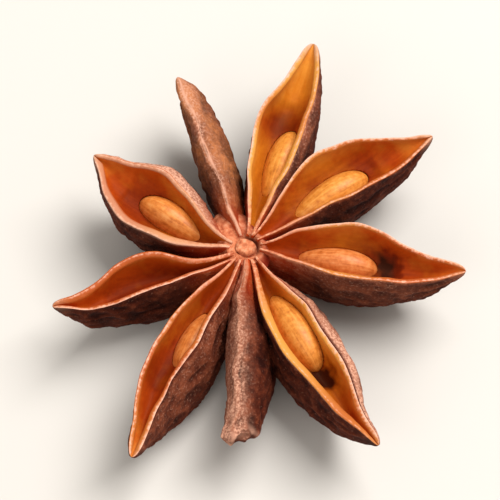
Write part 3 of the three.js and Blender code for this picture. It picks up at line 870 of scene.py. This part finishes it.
def bean(name, clearance, slack):
    """A seed on its edge in its follicle, grown by a clearance all round and a slack outwards."""
    seed = SEEDS[name]
    made = bmesh.new()
    bmesh.ops.create_uvsphere(made, u_segments=SEED_SIDES, v_segments=SEED_RINGS, radius=0.5)
    bmesh.ops.rotate(made, matrix=Matrix.Rotation(math.radians(90), 3, "Y"), verts=made.verts)
    coat_map = made.loops.layers.uv.new("grain")
    for face in made.faces:
        face.smooth = True
        for loop in face.loops:
            spot = loop.vert.co
            round_it = math.atan2(spot.z, spot.y) * SEED_HEIGHT / 2
            loop[coat_map].uv = (spot.x * SEED_LENGTH, round_it)
    for vert in made.verts:
        fullness = 1 + SEED_TAPER * vert.co.x
        vert.co.y *= fullness
        vert.co.z *= fullness
    lengths = Vector((SEED_LENGTH, SEED_THICKNESS, SEED_HEIGHT)) * seed["size"]
    room = Vector((2 * clearance + slack, 2 * clearance, 2 * clearance))
    bmesh.ops.scale(made, vec=lengths + room, verts=made.verts)
    azimuth = math.radians(FOLLICLES[name]["azimuth"])
    in_pod = Matrix.Translation((COLUMN_X, COLUMN_Y, 0)) @ Matrix.Rotation(azimuth, 4, "Z")
    in_follicle = Matrix.Translation(seed["middle"])
    turned = Matrix.Rotation(math.radians(seed["turn"]), 4, "Z")
    tipped = Matrix.Rotation(-math.radians(SEED_TIPPED_UP), 4, "Y")
    leant = Matrix.Rotation(math.radians(seed["lean"]), 4, "X")
    outwards = Matrix.Translation((slack / 2, 0, 0))
    placed = Matrix.Scale(MM, 4) @ in_pod @ in_follicle @ turned @ tipped @ leant @ outwards
    bmesh.ops.transform(made, matrix=placed, verts=made.verts)
    bmesh.ops.recalc_face_normals(made, faces=made.faces)
    return made


sockets = bpy.data.collections.new("sockets")
for name in SEEDS:
    azimuth = FOLLICLES[name]["azimuth"]
    hollow = bean(name, SOCKET_CLEARANCE, SOCKET_SLACK)
    layers = {layer: hollow.verts.layers.float.new(layer) for layer in LAYERS}
    for vert in hollow.verts:
        spot = vert.co / MM - Vector((COLUMN_X, COLUMN_Y, 0))
        spot.rotate(Matrix.Rotation(-math.radians(azimuth), 3, "Z"))
        # The socket's wall is painted dark and red: a painted shadow line round each seed where it
        # sits in the lining.
        vert[layers["depth"]] = SOCKET_SHADE_LINE_TONE
        vert[layers["red_share"]] = 1
        vert[layers["along"]] = spot.x
        vert[layers["across"]] = spot.y + azimuth
    for face in hollow.faces:
        face.material_index = HUSK_FINISHES.index(lining)
    mesh = bpy.data.meshes.new("socket_" + name)
    for material in HUSK_FINISHES:
        mesh.materials.append(material)
    hollow.to_mesh(mesh)
    hollow.free()
    sockets.objects.link(bpy.data.objects.new("socket_" + name, mesh))
bpy.context.scene.collection.children.link(sockets)

for operation, operands in (("UNION", boats), ("DIFFERENCE", sockets)):
    joint = column.modifiers.new(operation.lower(), "BOOLEAN")
    joint.operand_type = "COLLECTION"
    joint.collection = operands
    joint.operation = operation
    joint.solver = "MANIFOLD"
graph = bpy.context.evaluated_depsgraph_get()
wood = bpy.data.meshes.new_from_object(column.evaluated_get(graph),
                                       preserve_all_data_layers=True, depsgraph=graph)
for piece in list(boats.objects) + list(sockets.objects) + [column]:
    bpy.data.objects.remove(piece)
bpy.data.collections.remove(boats)
bpy.data.collections.remove(sockets)

resting = bmesh.new()
resting.from_mesh(wood)
bmesh.ops.bisect_plane(resting, geom=resting.verts[:] + resting.edges[:] + resting.faces[:],
                       plane_co=(0, 0, 0), plane_no=(0, 0, 1), clear_inner=True)
rubbed_off = [edge for edge in resting.edges if edge.is_boundary]
bmesh.ops.holes_fill(resting, edges=rubbed_off, sides=0)
bmesh.ops.recalc_face_normals(resting, faces=resting.faces)

# Slivers shut in where the pieces meet are taken out, which leaves one body.
unsorted = set(resting.faces)
bodies = []
while unsorted:
    body = [unsorted.pop()]
    for face in body:
        beside = {other for edge in face.edges for other in edge.link_faces} & unsorted
        unsorted -= beside
        body.extend(beside)
    bodies.append(body)
slivers = sorted(bodies, key=len)[:-1]
bmesh.ops.delete(resting, geom=[face for sliver in slivers for face in sliver], context="FACES")

# Along the lines where two pieces cut each other the wood is finished as it is
# next to them.
layers = {layer: resting.verts.layers.float[layer] for layer in LAYERS}
unset = [vert for vert in resting.verts if vert[layers["along"]] == 0]
waiting = []
while unset and len(unset) != len(waiting):
    waiting = unset
    unset = []
    for vert in waiting:
        around = [edge.other_vert(vert) for edge in vert.link_edges]
        known = [other for other in around if other[layers["along"]]]
        if known:
            nearest = min(known, key=lambda other: (other.co - vert.co).length)
            for layer in layers.values():
                vert[layer] = nearest[layer]
        else:
            unset.append(vert)
resting.to_mesh(wood)
resting.free()
wood.name = "husk_wood"
husk = bpy.data.objects.new("dried_husk", wood)
bpy.context.scene.collection.objects.link(husk)
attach(husk, "root")
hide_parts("husk")


# ---- Seeds -----------------------------------------------------------------
# Six of the open follicles still hold their one seed, a flattened bean on its
# edge that nearly fills the chamber. Its coat is hard, brittle and polished,
# golden brown with fine lengthwise streaks.

# A hard polished seed coat: golden to red-brown from seed to seed, with fine
# darker streaks that run lengthwise, and a soft broad shine.
STREAK_LENGTH = 2.5
STREAK_WIDTH = 0.38
COAT_MOTTLE = 0.45
GOLDEN_COAT = [(0.35, "b86a20"), (0.5, "dc8c34"), (0.62, "e8a048")]
RED_COAT = [(0.35, "a84c1c"), (0.5, "cc6c38"), (0.62, "d88450")]

seed_coat, tree, shader, place, read = new_material("polished_seed_coat", ("red_share",))
coat_place = add_node(tree, "ShaderNodeUVMap", {"uv_map": "grain"}, {})
coat_drawn_out = add_node(tree, "ShaderNodeMapping", {},
                          {"Vector": coat_place.outputs[0],
                           "Scale": (1 / STREAK_LENGTH, 1 / STREAK_WIDTH, 1)})
streaks = add_node(tree, "ShaderNodeTexNoise", {},
                   {"Vector": coat_drawn_out.outputs[0], "Scale": 1, "Detail": 5,
                    "Roughness": 0.6})
coat_mottle = add_node(tree, "ShaderNodeTexNoise", {},
                       {"Vector": place, "Scale": 1 / COAT_MOTTLE, "Detail": 3,
                        "Roughness": 0.6})
figure = add_node(tree, "ShaderNodeMath", {"operation": "ADD"},
                  {0: streaks.outputs["Fac"], 1: coat_mottle.outputs["Fac"]})
coat_tone = add_node(tree, "ShaderNodeMath", {"operation": "DIVIDE"}, {0: figure.outputs[0], 1: 2})
golden_coat = add_node(tree, "ShaderNodeValToRGB", {}, {"Fac": coat_tone.outputs[0]}, GOLDEN_COAT)
red_coat = add_node(tree, "ShaderNodeValToRGB", {}, {"Fac": coat_tone.outputs[0]}, RED_COAT)
coat_colour = add_node(tree, "ShaderNodeMix", {"data_type": "RGBA"},
                       {SHARE: read["red_share"], FROM: golden_coat.outputs["Color"],
                        TO: red_coat.outputs["Color"]})
tree.links.new(coat_colour.outputs[MIXED], shader.inputs["Base Color"])
coat_bump = add_node(tree, "ShaderNodeBump", {},
                     {"Height": streaks.outputs["Fac"], "Strength": 0.2, "Distance": 0.05 * MM})
tree.links.new(coat_bump.outputs[0], shader.inputs["Normal"])
shader.inputs["Roughness"].default_value = 0.45
shader.inputs["Specular IOR Level"].default_value = 0.35

for name, seed in SEEDS.items():
    coated = bean(name, 0, 0)
    reddening = coated.verts.layers.float.new("red_share")
    for vert in coated.verts:
        vert[reddening] = seed["redness"]
    mesh = bpy.data.meshes.new("seed_" + name)
    mesh.materials.append(seed_coat)
    coated.to_mesh(mesh)
    coated.free()
    polished = bpy.data.objects.new("polished_seed_" + name, mesh)
    bpy.context.scene.collection.objects.link(polished)
    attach(polished, "root")
    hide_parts("seed_" + name)


# ---- Table, light and camera --------------------------------------------------
# The pod lies on a plain pale table under a broad soft lamp above and behind
# it, with a weak fill from the front, and is looked at from 65 degrees up.

TABLE_SIZE = 1.2
TABLE_COLOUR = "d6d0c8"
ROOM_COLOUR = "f4f1ec"
ROOM_STRENGTH = 0.45

# Each lamp's place and size in metres and its power in watts.
LAMPS = {
    "key": ((0.20, 0.15, 0.44), 0.34, 3.4),
    "fill": ((-0.25, -0.35, 0.35), 0.4, 0.8),
}
VIEW_ELEVATION = 65
VIEW_DISTANCE = 0.30
VIEW_TARGET = ((COLUMN_X + 0.31) * MM, (COLUMN_Y - 0.34) * MM, 6.8 * MM)
VIEW_WIDTH = 39.8 * MM
SENSOR_WIDTH = 36
NEAREST_SEEN = 0.01

board = bmesh.new()
bmesh.ops.create_grid(board, x_segments=1, y_segments=1, size=TABLE_SIZE / 2)
table_mesh = bpy.data.meshes.new("table")
board.to_mesh(table_mesh)
board.free()
table_top = bpy.data.materials.new("pale_matt_board")
table_top.use_nodes = True
shader = table_top.node_tree.nodes["Principled BSDF"]
shader.inputs["Base Color"].default_value = linear(TABLE_COLOUR)
shader.inputs["Roughness"].default_value = 0.8
table_mesh.materials.append(table_top)
table = bpy.data.objects.new("table", table_mesh)
bpy.context.scene.collection.objects.link(table)

room = bpy.data.worlds.new("soft_room")
room.use_nodes = True
room.node_tree.nodes["Background"].inputs["Color"].default_value = linear(ROOM_COLOUR)
room.node_tree.nodes["Background"].inputs["Strength"].default_value = ROOM_STRENGTH
bpy.context.scene.world = room
bpy.context.scene.view_settings.view_transform = "Standard"

target = Vector(VIEW_TARGET)
for name, (stand, size, power) in LAMPS.items():
    lamp = bpy.data.lights.new(name, "AREA")
    lamp.size = size
    lamp.energy = power
    lamp_object = bpy.data.objects.new(name, lamp)
    lamp_object.location = stand
    lamp_object.rotation_euler = (target - Vector(stand)).to_track_quat("-Z", "Y").to_euler()
    bpy.context.scene.collection.objects.link(lamp_object)

camera_data = bpy.data.cameras.new("camera")
camera_data.sensor_width = SENSOR_WIDTH
camera_data.lens = SENSOR_WIDTH * VIEW_DISTANCE / VIEW_WIDTH
camera_data.clip_start = NEAREST_SEEN
camera = bpy.data.objects.new("camera", camera_data)
elevation = math.radians(VIEW_ELEVATION)
away = Vector((0, -math.cos(elevation), math.sin(elevation)))
camera.location = target + away * VIEW_DISTANCE
camera.rotation_euler = (-away).to_track_quat("-Z", "Y").to_euler()
bpy.context.scene.collection.objects.link(camera)
bpy.context.scene.camera = camera
